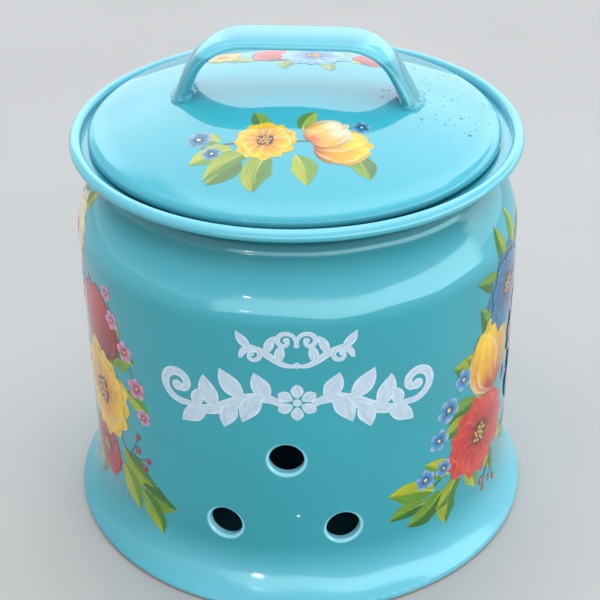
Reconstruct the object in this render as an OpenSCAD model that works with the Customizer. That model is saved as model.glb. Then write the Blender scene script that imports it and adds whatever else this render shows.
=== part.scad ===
// Round stoneware storage bin for potatoes, with an inset domed lid.
// Millimetres. Z is up, the origin is the centre of the base on the table,
// the vents face -Y and the lid's handle runs along X.

/* [Body] */
// Outer radius of the straight wall
wall_r = 107; // [90:0.5:130]
// Thickness of the cast wall
wall_t = 5; // [3.5:0.25:7]
// Height from the table to the top of the rim
body_h = 203.4; // [165:0.1:280]
// Thickness of the floor
floor_t = 5; // [4:0.25:8]
// Rounding between the floor and the inside of the base
floor_round = 8; // [4:0.5:9]

/* [Base] */
// How far the edge of the flared base stands out past the wall
base_flare = 10.4; // [6:0.1:16]
// Height at which the wall starts to sweep out into the base
flare_h = 30; // [24:0.5:45]
// Rounding of the edge of the base
base_edge_r = 2.5; // [1.5:0.1:3.5]
// Width of the flat ring that the bin stands on
foot_w = 9; // [5:0.5:14]
// Depth of the recess under the floor
foot_recess = 3; // [1.5:0.25:4]
// Slope of the recess's side, measured as its run
foot_draft = 1.5; // [0.5:0.25:3]

/* [Neck and rim] */
// Radius of the curve from the wall into the shoulder
shoulder_r = 39; // [24:0.5:48]
// Rounding of the groove round the neck
neck_round = 7; // [5:0.25:9]
// Depth of the neck's narrowest place below the top of the rim
neck_drop = 16.4; // [15:0.1:20]
// How far the bead of the rim stands out past the wall
rim_overhang = 0.5; // [-2:0.1:4]
// Radius of the rounded bead of the rim
bead_r = 2.9; // [2.2:0.1:3.6]
// Depth of the lid's seat below the top of the rim
seat_drop = 4.7; // [3.8:0.1:5.6]
// Width of the ledge that the lid sits on
seat_w = 13.6; // [12:0.1:18]
// Rounding of the inner edge of the ledge
lip_r = 2; // [1:0.25:3]

/* [Vents] */
// Radius of each air vent
vent_r = 8.2; // [5:0.1:10]
// Width of the broken edge round each vent
vent_edge = 1.1; // [0.5:0.1:1.6]
// Height of the two lower vents
vent_low_z = 43.3; // [42:0.1:55]
// Height of the upper vent
vent_high_z = 84.4; // [78:0.1:110]
// Turn of each lower vent from the front
vent_turn = 15.2; // [11:0.1:30]
// Turn of the upper vent from the front
vent_high_turn = 1; // [-5:0.1:5]

/* [Lid] */
// Gap between the lid's edge and the bead of the rim
lid_gap = 4; // [2.5:0.1:6]
// Height of the top of the dome above the seat
dome_h = 24.1; // [16:0.1:34]
// Thickness of the dome
lid_t = 5.5; // [4:0.25:7]
// Rounding from the dome down to the lid's edge
lid_edge_r = 5; // [3.5:0.1:6.5]
// Rounding from the lid's edge in to its underside
lid_under_r = 2.5; // [1.5:0.1:3.5]
// Play between the locating flange and the neck
flange_play = 2.4; // [1.4:0.1:3.5]
// Depth of the locating flange below the seat
flange_h = 9; // [6:0.5:14]
// Thickness of the locating flange
flange_t = 4.5; // [3:0.25:6]
// Rounding inside the lid where the dome meets the flange
flange_round = 3; // [1.5:0.25:4]
// How far the lid rests off centre within its play
lid_shift = -1; // [-1:0.1:1]

/* [Handle] */
// Width of the strap along the bar
handle_w = 24; // [14:0.5:28]
// Width that the strap reaches at its feet
handle_root_w = 25; // [14:0.5:32]
// Thickness of the strap
handle_t = 7.2; // [5:0.1:9]
// Distance between the middles of the feet on the lid
handle_span = 108; // [90:0.1:125]
// Room for fingers between the lid and the strap
finger_gap = 19.6; // [14:0.1:34]
// Radius of the strap's left bend, along its middle
left_bend = 29.2; // [20:0.2:34]
// Radius of the strap's right bend, along its middle
right_bend = 26; // [20:0.2:34]
// Lean of the left foot inwards from upright
left_lean = 22.6; // [10:0.2:30]
// Lean of the right foot inwards from upright
right_lean = 27.6; // [10:0.2:30]
// How far the hand-set strap stands off the middle of the lid
handle_shift = 1.1; // [-3:0.1:3]
// How far the hand-set strap is turned from the lid's X line
handle_turn = -0.9; // [-5:0.1:5]
// How far the slip round each foot stands out from the strap
foot_spread = 0.6; // [0.4:0.1:2]
// Height up the foot to which the slip is drawn
foot_rise = 4; // [2:0.1:6]
// Film of slip that joins each foot to the dome
slip_film = 0.1; // [0.1:0.05:0.4]

/* [Hidden] */
GLAZE = [0.33, 0.70, 0.76];
// Steps in a full turn of the bin and its lid, of the wide dome, and of small rounds
FACETS = 180;
DOME_FACETS = 720;
SMALL_FACETS = 64;
// Sides of the strap, steps round one of its bends, and steps down one of its legs
STRAP_SIDES = 24;
BEND_STEPS = 12;
LEG_STEPS = 6;
// Fullness of the strap's oval section: 2 is an ellipse, more is squarer
STRAP_POWER = 2.3;
// Overlap between the shapes that make up one outline
LAP = 1;

// Base: the sweep is one arc that touches the wall and the rounded edge
base_r = wall_r + base_flare;
edge_x = base_r - base_edge_r;
sweep_dx = edge_x - wall_r;
sweep_dz = flare_h - base_edge_r;
sweep_r = (sweep_dx * sweep_dx + sweep_dz * sweep_dz - base_edge_r * base_edge_r)
        / (2 * (sweep_dx + base_edge_r));
sweep_x = wall_r + sweep_r;
sweep_end_x = edge_x + base_edge_r * (sweep_x - edge_x) / (sweep_r + base_edge_r);
foot_x = edge_x - foot_w;

// Inside of the base: the same sweep one wall thickness in, rounded to the floor
floor_z = foot_recess + floor_t;
round_z = floor_z + floor_round;
inner_sweep_r = sweep_r + wall_t;
round_reach = inner_sweep_r + floor_round;
round_x = sweep_x - sqrt(pow(round_reach, 2) - pow(flare_h - round_z, 2));
round_share = floor_round / round_reach;
round_end = [round_x, round_z] + round_share * [sweep_x - round_x, flare_h - round_z];

// Rim: a round bead on the outer edge of the lid's ledge
bead_x = wall_r + rim_overhang - bead_r;
bead_z = body_h - bead_r;
seat_z = body_h - seat_drop;
bore_r = bead_x - bead_r - seat_w;

// Neck: a groove that touches the shoulder below and a cone under the bead
neck_x = bore_r + wall_t + neck_round;
neck_z = body_h - neck_drop;
shoulder_x = wall_r - shoulder_r;
shoulder_z = neck_z - sqrt(pow(shoulder_r + neck_round, 2) - pow(neck_x - shoulder_x, 2));
shoulder_end = touch([shoulder_x, shoulder_z], [neck_x, neck_z], shoulder_r, neck_round);
inner_end = touch([shoulder_x, shoulder_z], [neck_x, neck_z],
                  shoulder_r - wall_t, neck_round + wall_t);
cone_run = norm([bead_x - neck_x, bead_z - neck_z]);
cone_turn = atan2(bead_z - neck_z, bead_x - neck_x) - asin((neck_round + bead_r) / cone_run);
cone_side = [-sin(cone_turn), cos(cone_turn)];
cone_low = [neck_x, neck_z] + neck_round * cone_side;
cone_high = [bead_x, bead_z] - bead_r * cone_side;

// Lid: the dome is part of a ball that touches the rounding of the edge
lid_r = bead_x - bead_r - lid_gap;
edge_in = lid_r - lid_edge_r;
edge_z = seat_z + lid_under_r;
dome_z = seat_z + dome_h;
dome_rise = dome_z - edge_z;
dome_r = (edge_in * edge_in + dome_rise * dome_rise - lid_edge_r * lid_edge_r)
       / (2 * (dome_rise - lid_edge_r));
ball_z = dome_z - dome_r;
dome_end_x = edge_in * dome_r / (dome_r - lid_edge_r);
flange_r = bore_r - flange_play;
hollow_r = flange_r - flange_t;
ceiling_r = dome_r - lid_t;
corner_x = hollow_r - flange_round;
corner_z = ball_z + sqrt(pow(ceiling_r - flange_round, 2) - corner_x * corner_x);
corner_end_x = corner_x * ceiling_r / (ceiling_r - flange_round);

// Handle: a level bar, and on each side of it a bend and a leaning foot
bar_z = dome_z + finger_gap + handle_t / 2;
foot_x_out = handle_span / 2;
LEFT = [-1, left_bend, left_lean];
RIGHT = [1, right_bend, right_lean];

// Point where a circle of radius ra about a touches one of radius rb about b
function touch(a, b, ra, rb) = a + (b - a) * ra / (ra + rb);

// Outline of everything inside the body's outer skin, from the axis out
module body_outer_2d() {
    square([edge_x, 2 * base_edge_r]);
    translate([edge_x, base_edge_r])
        circle(base_edge_r);
    difference() {
        translate([0, base_edge_r])
            square([sweep_end_x, flare_h - base_edge_r]);
        translate([sweep_x, flare_h])
            circle(sweep_r);
    }
    translate([0, flare_h - LAP])
        square([wall_r, shoulder_z - flare_h + LAP]);
    intersection() {
        translate([shoulder_x, shoulder_z])
            circle(shoulder_r);
        translate([0, shoulder_z - LAP])
            square([wall_r, shoulder_end[1] - shoulder_z + LAP]);
    }
    translate([0, shoulder_z - LAP])
        square([shoulder_x, shoulder_end[1] - shoulder_z + LAP]);
    difference() {
        polygon([[0, shoulder_end[1]], shoulder_end, cone_low, cone_high,
                 [bead_x, seat_z], [0, seat_z]]);
        translate([neck_x, neck_z])
            circle(neck_round);
    }
    translate([bead_x, bead_z])
        circle(bead_r);
    translate([bead_x - bead_r, seat_z - LAP])
        square([bead_r, bead_z - seat_z + LAP]);
}

// Outline of the inside: base, wall, shoulder, neck and rounded lip
module body_inner_2d() {
    translate([0, floor_z])
        square([round_x, flare_h - floor_z]);
    translate([round_x, round_z])
        circle(floor_round);
    difference() {
        translate([0, round_end[1]])
            square([round_end[0], flare_h - round_end[1]]);
        translate([sweep_x, flare_h])
            circle(inner_sweep_r);
    }
    translate([0, flare_h - LAP])
        square([wall_r - wall_t, shoulder_z - flare_h + LAP]);
    intersection() {
        translate([shoulder_x, shoulder_z])
            circle(shoulder_r - wall_t);
        translate([0, shoulder_z - LAP])
            square([wall_r, inner_end[1] - shoulder_z + LAP]);
    }
    translate([0, shoulder_z - LAP])
        square([shoulder_x, inner_end[1] - shoulder_z + LAP]);
    difference() {
        translate([0, inner_end[1]])
            square([inner_end[0], neck_z - inner_end[1]]);
        translate([neck_x, neck_z])
            circle(neck_round + wall_t);
    }
    translate([0, neck_z - LAP])
        square([bore_r, seat_z - neck_z + 2 * LAP]);
    difference() {
        translate([0, seat_z - lip_r])
            square([bore_r + lip_r, lip_r + LAP]);
        translate([bore_r + lip_r, seat_z - lip_r])
            circle(lip_r);
    }
}

// Recess under the floor, with a sloping side
module foot_recess_2d() {
    polygon([[0, -LAP], [foot_x + foot_draft * LAP / foot_recess, -LAP],
             [foot_x - foot_draft, foot_recess], [0, foot_recess]]);
}

// One air vent through the wall, its edges broken inside and out
module vent(turn, height) {
    broken = vent_edge + LAP;
    rotate([0, 0, turn])
        translate([0, -wall_r, height])
            rotate([90, 0, 0]) {
                translate([0, 0, -wall_t - 2 * LAP])
                    cylinder(r = vent_r, h = wall_t + 4 * LAP);
                translate([0, 0, -vent_edge])
                    cylinder(r1 = vent_r, r2 = vent_r + broken, h = broken);
                translate([0, 0, -wall_t - LAP])
                    cylinder(r1 = vent_r + broken, r2 = vent_r, h = broken);
            }
}

// The cast vessel: flared base, wall, shoulder, neck and beaded rim
module bin_body() {
    color(GLAZE)
        difference() {
            rotate_extrude($fn = FACETS)
                difference() {
                    body_outer_2d($fn = FACETS);
                    body_inner_2d($fn = FACETS);
                    foot_recess_2d();
                }
            vent(vent_high_turn, vent_high_z, $fn = SMALL_FACETS);
            for (side = [-1, 1])
                vent(side * vent_turn, vent_low_z, $fn = SMALL_FACETS);
        }
}

// Outline of the lid above its seat, filled to the axis
module lid_outer_2d() {
    intersection() {
        translate([0, ball_z])
            circle(dome_r, $fn = DOME_FACETS);
        translate([0, seat_z])
            square([dome_end_x, dome_h]);
    }
    intersection() {
        translate([edge_in, edge_z])
            circle(lid_edge_r);
        translate([edge_in - lid_edge_r, edge_z])
            square(2 * lid_edge_r);
    }
    translate([lid_r - lid_under_r, edge_z])
        circle(lid_under_r);
    translate([0, seat_z])
        square([lid_r - lid_under_r, lid_under_r]);
}

// Outline of the hollow under the dome
module lid_hollow_2d() {
    intersection() {
        translate([0, ball_z])
            circle(ceiling_r, $fn = DOME_FACETS);
        translate([0, corner_z])
            square([corner_end_x, dome_h]);
    }
    translate([corner_x, corner_z])
        circle(flange_round);
    translate([0, seat_z - flange_h - LAP])
        square([hollow_r, corner_z - seat_z + flange_h + LAP]);
}

// Outline of the flange that keeps the lid over the mouth
module flange_2d() {
    tip_r = flange_t / 2;
    translate([hollow_r, seat_z - flange_h + tip_r])
        square([flange_t, flange_h - tip_r + lid_under_r]);
    translate([hollow_r + tip_r, seat_z - flange_h + tip_r])
        circle(tip_r);
}

// The lid: dome, rounded edge and locating flange
module lid() {
    color(GLAZE)
        translate([lid_shift, 0, 0])
            rotate_extrude($fn = FACETS)
                difference() {
                    union() {
                        lid_outer_2d($fn = FACETS);
                        flange_2d($fn = SMALL_FACETS);
                    }
                    difference() {
                        lid_hollow_2d($fn = SMALL_FACETS);
                        flange_2d($fn = SMALL_FACETS);
                    }
                }
}

// Point of the strap's section as [across, out]: a full oval
function strap_edge(w, t, i) =
    let (turn = 360 * (i + 0.5) / STRAP_SIDES, c = cos(turn), s = sin(turn))
    [sign(c) * pow(abs(c), 2 / STRAP_POWER) * w / 2,
     sign(s) * pow(abs(s), 2 / STRAP_POWER) * t / 2];

// One half of the strap is given as [side, bend radius, lean]. Its points are laid
// out with x running outwards from the middle of the bar to the foot.
function ball_middle(half) = [-half[0] * handle_shift, 0, ball_z];

function foot_z(half) =
    ball_z + sqrt(pow(dome_r, 2) - pow(foot_x_out + half[0] * handle_shift, 2));

function bend_middle(half) =
    let (z = bar_z - half[1])
    [foot_x_out - half[1] / cos(half[2]) - (z - foot_z(half)) * tan(half[2]), z];

function leg_way(half) = [sin(half[2]), 0, -cos(half[2])];

// Lengths of the bend and of the leg, along the middle of the strap
function bend_run(half) = half[1] * (90 - half[2]) * PI / 180;

function leg_run(half) =
    (bend_middle(half)[1] + half[1] * sin(half[2]) - foot_z(half)) / cos(half[2]);

// Width of the strap at a distance from the end of the bar
function strap_w(half, run) =
    handle_w + (handle_root_w - handle_w) * run / (bend_run(half) + leg_run(half));

// Ring of points round the strap where it has turned through part of a bend
function strap_ring(half, w, t, turn) =
    let (middle = bend_middle(half))
    [for (i = [0:STRAP_SIDES - 1])
        let (edge = strap_edge(w, t, i), reach = half[1] + edge[1])
        [middle[0] + reach * cos(turn), edge[0], middle[1] + reach * sin(turn)]];

function bend_ring(half, share) =
    strap_ring(half, strap_w(half, share * bend_run(half)), handle_t,
               90 - share * (90 - half[2]));

// Distance from a point above the lid down to the dome, along the leg
function to_dome(half, p) =
    let (from = p - ball_middle(half),
         down = leg_way(half) * from,
         seat = dome_r + slip_film)
    -down - sqrt(down * down - from * from + seat * seat);

// Ring of points down the leg, which spreads into its slip and ends on the dome
function leg_ring(half, share) =
    let (near = max(0, 1 - (1 - share) * leg_run(half) / foot_rise),
         spread = 2 * foot_spread * near * near,
         w = strap_w(half, bend_run(half) + share * leg_run(half)) + spread)
    [for (p = strap_ring(half, w, handle_t + spread, half[2]))
        p + share * to_dome(half, p) * leg_way(half)];

// Steps down the leg lie closer together towards the foot
function half_rings(half) = concat(
    [for (i = [0:BEND_STEPS]) bend_ring(half, i / BEND_STEPS)],
    [for (i = [1:LEG_STEPS]) leg_ring(half, sin(90 * i / LEG_STEPS))]);

function foot_middle(half) =
    let (middle = bend_middle(half),
         p = [middle[0] + half[1] * cos(half[2]), 0, middle[1] + half[1] * sin(half[2])])
    p + to_dome(half, p) * leg_way(half);

function mirrored(p) = [-p[0], p[1], p[2]];

// The strap handle: a bowed strap swept from one foot on the dome to the other
module lid_handle() {
    left = half_rings(LEFT);
    count = len(left);
    rings = concat([for (i = [count - 1:-1:0]) [for (p = left[i]) mirrored(p)]],
                   half_rings(RIGHT));
    last = 2 * count - 1;
    ends = len(rings) * STRAP_SIDES;
    points = concat([for (ring = rings) each ring],
                    [mirrored(foot_middle(LEFT)), foot_middle(RIGHT)]);
    sides = [for (r = [0:last - 1], i = [0:STRAP_SIDES - 1])
        let (j = (i + 1) % STRAP_SIDES, a = r * STRAP_SIDES, b = a + STRAP_SIDES)
        each [[a + i, b + i, b + j], [a + i, b + j, a + j]]];
    feet = [for (i = [0:STRAP_SIDES - 1])
        let (j = (i + 1) % STRAP_SIDES, b = last * STRAP_SIDES)
        each [[ends, i, j], [ends + 1, b + j, b + i]]];
    color(GLAZE)
        translate([lid_shift, 0, 0])
            rotate([0, 0, handle_turn])
                translate([handle_shift, 0, 0])
                    polyhedron(points, concat(sides, feet));
}

bin_body();
lid();
lid_handle();
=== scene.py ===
import math

import bmesh
import bpy
import numpy as np
from mathutils import Matrix, Vector
from mathutils.bvhtree import BVHTree


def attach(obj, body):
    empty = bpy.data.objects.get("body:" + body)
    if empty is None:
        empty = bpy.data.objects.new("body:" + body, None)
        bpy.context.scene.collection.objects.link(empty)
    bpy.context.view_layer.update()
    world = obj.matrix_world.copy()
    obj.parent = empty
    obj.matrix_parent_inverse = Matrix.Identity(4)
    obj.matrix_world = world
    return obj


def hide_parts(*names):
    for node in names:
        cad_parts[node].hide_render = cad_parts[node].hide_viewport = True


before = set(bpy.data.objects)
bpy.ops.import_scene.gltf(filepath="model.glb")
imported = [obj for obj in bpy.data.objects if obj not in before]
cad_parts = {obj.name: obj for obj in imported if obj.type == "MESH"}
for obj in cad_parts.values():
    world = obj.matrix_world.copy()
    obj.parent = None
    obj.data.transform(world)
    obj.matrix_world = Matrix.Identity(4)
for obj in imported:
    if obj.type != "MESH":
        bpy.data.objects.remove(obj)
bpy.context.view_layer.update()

# Sizes of the body's outline and of the lid's dome, in millimetres, as in the CAD part
WALL_R, FLARE_Z, SHOULDER_Z = 107.0, 30.0, 154.05
SWEEP_R, SHOULDER_R = 39.06, 39.0
SWEEP_X, SHOULDER_X = WALL_R + SWEEP_R, WALL_R - SHOULDER_R
LID_X, BALL_Z, DOME_R = -1.0, -49.33, 272.13
# Height of the paint above the glaze, and of each stroke above the one under it, in millimetres
PAINT_LIFT, STROKE_LIFT = 0.05, 0.006

# Each vent's turn from the front in degrees and its height in metres, and the same for a pale fleck
VENTS = ((1.0, 0.0844), (-15.2, 0.0433), (15.2, 0.0433))
FLECK = (3.7242, 0.052)
# Heights in metres between which the body's glaze, its painted light and its painted shade change. A band
# has a lower and an upper edge.
# The foot's band is painted light: a lighter foot that fades towards the left side.
BARE_RING, FOOT_LIGHT = (0.0006, 0.0012), (0.0080, 0.0360)
# The shoulder's band is painted light: the up-facing shoulder is made lighter.
SHOULDER_LIGHT_BAND = ((0.1540, 0.1670), (0.1750, 0.1860))
# The neck's band is painted shade, near black, under the bead.
NECK_SHADE_BAND = ((0.1790, 0.1965), (0.1986, 0.1994))
# The seat's band is painted shade under the lid's edge.
SEAT_SHADE, BEAD = (0.1978, 0.1984), (0.1990, 0.2025)
MATT_FOOT, MATT_NECK = (0.0060, 0.0420), ((0.182, 0.190), (0.1970, 0.1980))
# The same for distances from the bin's upright axis, from a vent's or the fleck's middle, and for X and Y
# These bound the painted shade in the neck and in the seat.
NECK_SHADE_OUTSIDE, SEAT_INNER, SEAT_OUTER = (0.0905, 0.0925), (0.0940, 0.0990), (0.1016, 0.1026)
# The vents' lips carry a painted highlight over glaze thin there.
VENT_LIP_HIGHLIGHT, FLECK_EDGE = (0.0090, 0.0099), (0.0006, 0.0010)
# These bound where the foot's painted light fades on the left and where the seat's painted shade lies in
# front.
LEFT_LIGHT_FADE, FRONT_SHADE_PART = (-0.110, -0.030), (-0.090, -0.040)
# The same on the lid and on the strap of its handle
LID_BACK, LID_EDGE = (-0.050, -0.020), (0.0860, 0.0935)
# The lid's under band is painted shade at its edge.
LID_UNDER_SHADE, LID_FLANGE = (0.1990, 0.2012), (0.088, 0.091)
# Painted light on the strap's bar sets in and fades between these heights.
BAR_LIGHT_BELOW, BAR_LIGHT_TOP = (0.2385, 0.2412), (0.2462, 0.2484)
# The bar's underside band is painted shade.
BAR_UNDERSIDE_SHADE, BAR_END = (0.2404, 0.2412), (0.030, 0.038)
# Pinholes on the lid, in two sizes: cells to a metre, the share of cells left bare, a pinhole's greatest
# size as a share of its cell, and X in metres where they set in
PINHOLES = ((270, 0.64, 0.27, (0.026, 0.048)), (430, 0.55, 0.23, (0.036, 0.056)))


# Colours and noise
def lin(r, g, b):
    """A colour given as it looks on a screen, 0 to 255, as linear light."""
    c = np.array([r, g, b]) / 255
    return np.where(c <= 0.04045, c / 12.92, ((c + 0.055) / 1.055) ** 2.4)


def mix(a, b, t):
    """From one colour to another by a share, which may be a whole array."""
    t = np.clip(np.asarray(t, float), 0, 1)[..., None]
    return np.asarray(a) * (1 - t) + np.asarray(b) * t


def smooth(x, low, high):
    """From 0 to 1 between two values, without a kink."""
    t = np.clip((x - low) / (high - low), 0, 1)
    return t * t * (3 - 2 * t)


LATTICE = np.random.default_rng(11).random((64, 64))


def noise(u, v, seed=0):
    """Smooth noise from 0 to 1 over two coordinates."""
    u, v = np.asarray(u, float) + seed * 7.31, np.asarray(v, float) + seed * 3.17
    i, j = np.floor(u).astype(int), np.floor(v).astype(int)
    a, b = smooth(u - i, 0, 1), smooth(v - j, 0, 1)
    at = lambda p, q: LATTICE[p % len(LATTICE), q % len(LATTICE)]
    low = at(i, j) * (1 - a) + at(i + 1, j) * a
    high = at(i, j + 1) * (1 - a) + at(i + 1, j + 1) * a
    return low * (1 - b) + high * b


# Meshes and objects
def grid_faces(rows, cols, first=0):
    """Quads that join a grid of points, which are numbered row by row."""
    index = first + np.arange(rows * cols).reshape(rows, cols)
    quads = np.stack([index[:-1, :-1], index[:-1, 1:], index[1:, 1:], index[1:, :-1]], -1)
    return quads.reshape(-1, 4)


def new_object(name, data):
    """An object in the scene that shows a mesh, or is a camera or a lamp."""
    made = bpy.data.objects.new(name, data)
    bpy.context.scene.collection.objects.link(made)
    return made


# Materials
class Nodes:
    """A short way to write a material's or world's node tree."""

    def __init__(self, tree):
        self.tree = tree

    def add(self, kind, **values):
        node = self.tree.nodes.new(kind)
        for name, value in values.items():
            setattr(node, name, value)
        return node

    def link(self, out, into):
        self.tree.links.new(out, into)

    def math(self, kind, a, b=None):
        node = self.add("ShaderNodeMath", operation=kind)
        for socket, value in zip(node.inputs, (a, b)):
            if isinstance(value, (int, float)):
                socket.default_value = value
            elif value is not None:
                self.link(value, socket)
        return node.outputs[0]

    def times(self, first, *others):
        """The product of all the values."""
        for other in others:
            first = self.math("MULTIPLY", first, other)
        return first

    def spread(self, value, a, b, c=0.0, d=1.0, kind="SMOOTHSTEP"):
        """From c to d while the value goes from a to b."""
        node = self.add("ShaderNodeMapRange", interpolation_type=kind)
        self.link(value, node.inputs["Value"])
        for name, number in zip(("From Min", "From Max", "To Min", "To Max"), (a, b, c, d)):
            node.inputs[name].default_value = number
        return node.outputs[0]

    def band(self, value, lower, upper, top=1.0):
        """The given top between a lower and an upper edge, and 0 outside them."""
        return self.times(self.spread(value, *lower), self.spread(value, *upper, top, 0))

    def mix(self, share, a, b, kind="MIX"):
        node = self.add("ShaderNodeMix", data_type="RGBA", blend_type=kind)
        for socket, value in ((node.inputs[0], share), (node.inputs[6], a), (node.inputs[7], b)):
            if isinstance(value, (int, float)):
                socket.default_value = value
            elif isinstance(value, (tuple, list, np.ndarray)):
                socket.default_value = (*value[:3], 1)
            else:
                self.link(value, socket)
        return node.outputs[2]

    def noise(self, vector, scale, detail=2.0, rough=0.5):
        node = self.add("ShaderNodeTexNoise")
        self.link(vector, node.inputs["Vector"])
        node.inputs["Scale"].default_value = scale
        node.inputs["Detail"].default_value = detail
        node.inputs["Roughness"].default_value = rough
        return node.outputs["Fac"]

    def axes(self, vector):
        node = self.add("ShaderNodeSeparateXYZ")
        self.link(vector, node.inputs[0])
        return tuple(node.outputs)

    def vector_math(self, kind, vector, other=(0, 0, 0)):
        node = self.add("ShaderNodeVectorMath", operation=kind)
        self.link(vector, node.inputs[0])
        node.inputs[1].default_value = other
        return node.outputs

    def from_axis(self, place):
        """Distance from the bin's upright axis."""
        flat = self.vector_math("MULTIPLY", place, (1, 1, 0))["Vector"]
        return self.vector_math("LENGTH", flat)["Value"]

    def near(self, place, turn, height, low, high, deep=0.0):
        """1 round a point of the wall, or some way deep in it, and 0 further off."""
        a, r = math.radians(turn), WALL_R / 1000 - deep
        point = (r * math.sin(a), -r * math.cos(a), height)
        return self.spread(self.vector_math("DISTANCE", place, point)["Value"], low, high, 1, 0)


def new_material(name):
    """A material, its nodes, its shader, and the place on the object that it shades."""
    m = bpy.data.materials.new(name)
    m.use_nodes = True
    nodes = Nodes(m.node_tree)
    shader = m.node_tree.nodes["Principled BSDF"]
    place = nodes.add("ShaderNodeTexCoord").outputs["Object"]
    return m, nodes, shader, place


def gloss(n, shader, place, rough, scale=34, strength=0.3, distance=0.0004):
    """A glassy coat that waves a little. The last three values are those of the waves."""
    n.link(rough, shader.inputs["Roughness"])
    shader.inputs["IOR"].default_value = 1.6
    bump = n.add("ShaderNodeBump")
    bump.inputs["Strength"].default_value = strength
    bump.inputs["Distance"].default_value = distance
    n.link(n.noise(place, scale, 1, 0.4), bump.inputs["Height"])
    n.link(bump.outputs[0], shader.inputs["Normal"])


# Glaze tones. The thin and edge tones serve both as glaze thinning on edges and as painted light on the
# shoulder, foot, seat and strap.
GLAZE = lin(45, 160, 173)
GLAZE_THIN_AND_LIT = lin(88, 190, 206)
GLAZE_EDGE_AND_LIT = lin(116, 208, 226)
# The lip tone is a painted highlight on the vents' lips, over glaze thin there.
GLAZE_LIP_HIGHLIGHT = lin(150, 226, 240)
CLAY = lin(196, 172, 142)
SPECK, FLECK_TONE = lin(26, 82, 96), lin(214, 240, 246)


def glaze_material(name, glaze, extra, bare_below=None, waves=()):
    """Glossy glaze on a slip-cast body that thins a little, with painted light and shade where a piece's
    extra adds them.

    extra is a function that gives the colour with a piece's own changes, and what they add to the
    roughness. Below the heights in bare_below the clay shows.
    """
    m, n, shader, place = new_material(name)
    axes = n.axes(place)
    colour = n.mix(n.spread(n.noise(place, 16), 0.3, 0.72), glaze * 0.96, glaze * 1.02)
    colour, matt = extra(n, place, axes, colour)
    rough = n.math("ADD", n.spread(n.noise(place, 60), 0.3, 0.7, 0.022, 0.045), matt)
    if bare_below:
        wavy = n.math("ADD", axes[2], n.times(n.noise(place, 90), -0.0006))
        glazed = n.spread(wavy, *bare_below)
        grain = n.mix(n.noise(place, 900, 3), CLAY * 0.78, CLAY)
        colour = n.mix(glazed, grain, colour)
        rough = n.math("MAXIMUM", rough, n.times(n.math("SUBTRACT", 1.0, glazed), 0.85))
    n.link(colour, shader.inputs["Base Color"])
    gloss(n, shader, place, rough, *waves)
    return m


def body_extra(n, place, axes, colour):
    """Glaze thin on the bead, painted light on the shoulder and foot, painted highlights on the vents' lips,
    and painted shade in the neck and seat.

    The seat's painted shade is dark in front alone and lighter elsewhere, and the foot's painted light fades
    to the left. The neck and the foot are less glossy than the rest.
    """
    x, y, z = axes
    out = n.from_axis(place)
    up = n.math("ADD", z, n.times(n.noise(place, 60), 0.0008))
    # Painted light: a lighter band on the up-facing shoulder.
    colour = n.mix(n.band(up, *SHOULDER_LIGHT_BAND, 0.75), colour, GLAZE_THIN_AND_LIT)
    # Painted light: the foot made lighter, much less so on the left, which stays darker as painted shade.
    foot = n.times(n.spread(up, *FOOT_LIGHT, 1, 0), n.spread(x, *LEFT_LIGHT_FADE, 0.2, 0.80))
    colour = n.mix(foot, colour, GLAZE_EDGE_AND_LIT)
    # Painted shade: the neck under the bead made near black.
    neck_shade = n.times(n.band(up, *NECK_SHADE_BAND), n.spread(out, *NECK_SHADE_OUTSIDE))
    colour = n.mix(neck_shade, colour, GLAZE * 0.04)
    # Painted shade in the seat under the lid's edge: dark in front, lighter at the sides and back.
    seat_shade = n.times(n.spread(z, *SEAT_SHADE), n.spread(out, *SEAT_OUTER, 1, 0))
    seat_shade_tone = n.mix(n.spread(y, *FRONT_SHADE_PART), GLAZE * 0.12, GLAZE_THIN_AND_LIT * 0.95)
    seat_shade_tone = n.mix(n.spread(out, *SEAT_INNER), GLAZE * 0.8, seat_shade_tone)
    colour = n.mix(seat_shade, colour, seat_shade_tone)
    colour = n.mix(n.spread(up, *BEAD, 0, 0.8), colour, GLAZE_EDGE_AND_LIT)
    # Glaze thin on the vents' lips, painted lighter as a highlight.
    for vent in VENTS:
        colour = n.mix(n.near(place, *vent, *VENT_LIP_HIGHLIGHT, deep=0.0005), colour, GLAZE_LIP_HIGHLIGHT)
    colour = n.mix(n.near(place, *FLECK, *FLECK_EDGE), colour, FLECK_TONE)
    return colour, n.math("ADD", n.band(z, *MATT_NECK, 0.16), n.spread(up, *MATT_FOOT, 0.12, 0))


def lid_extra(n, place, axes, colour):
    """Dark pinholes on the lid's right side, glaze thin towards its edge, and painted shade under it."""
    x, y, z = axes
    out = n.from_axis(place)
    matt = 0.0
    for scale, share, reach, right in PINHOLES:
        cells = n.add("ShaderNodeTexVoronoi", voronoi_dimensions="2D")
        cells.inputs["Scale"].default_value = scale
        n.link(place, cells.inputs["Vector"])
        pick = n.add("ShaderNodeSeparateColor")
        n.link(cells.outputs["Color"], pick.inputs[0])
        size = n.times(pick.outputs[0], reach)
        dot = n.spread(n.math("SUBTRACT", size, cells.outputs["Distance"]), -0.02, 0.05)
        chosen = n.math("GREATER_THAN", pick.outputs[1], share)
        strength = n.spread(pick.outputs[2], 0.1, 0.9, 0.30, 0.95)
        spot = n.times(dot, chosen, n.spread(x, *right), n.spread(y, *LID_BACK), strength)
        colour = n.mix(spot, colour, SPECK)
        matt = n.math("MAXIMUM", matt, n.times(spot, 0.6))
    colour = n.mix(n.spread(out, *LID_EDGE, 0, 0.3), colour, GLAZE_EDGE_AND_LIT)
    # Painted shade under the lid's edge.
    under = n.times(n.spread(z, *LID_UNDER_SHADE, 0.6, 0), n.spread(out, *LID_FLANGE))
    return n.mix(under, colour, GLAZE * 0.2), matt


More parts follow.
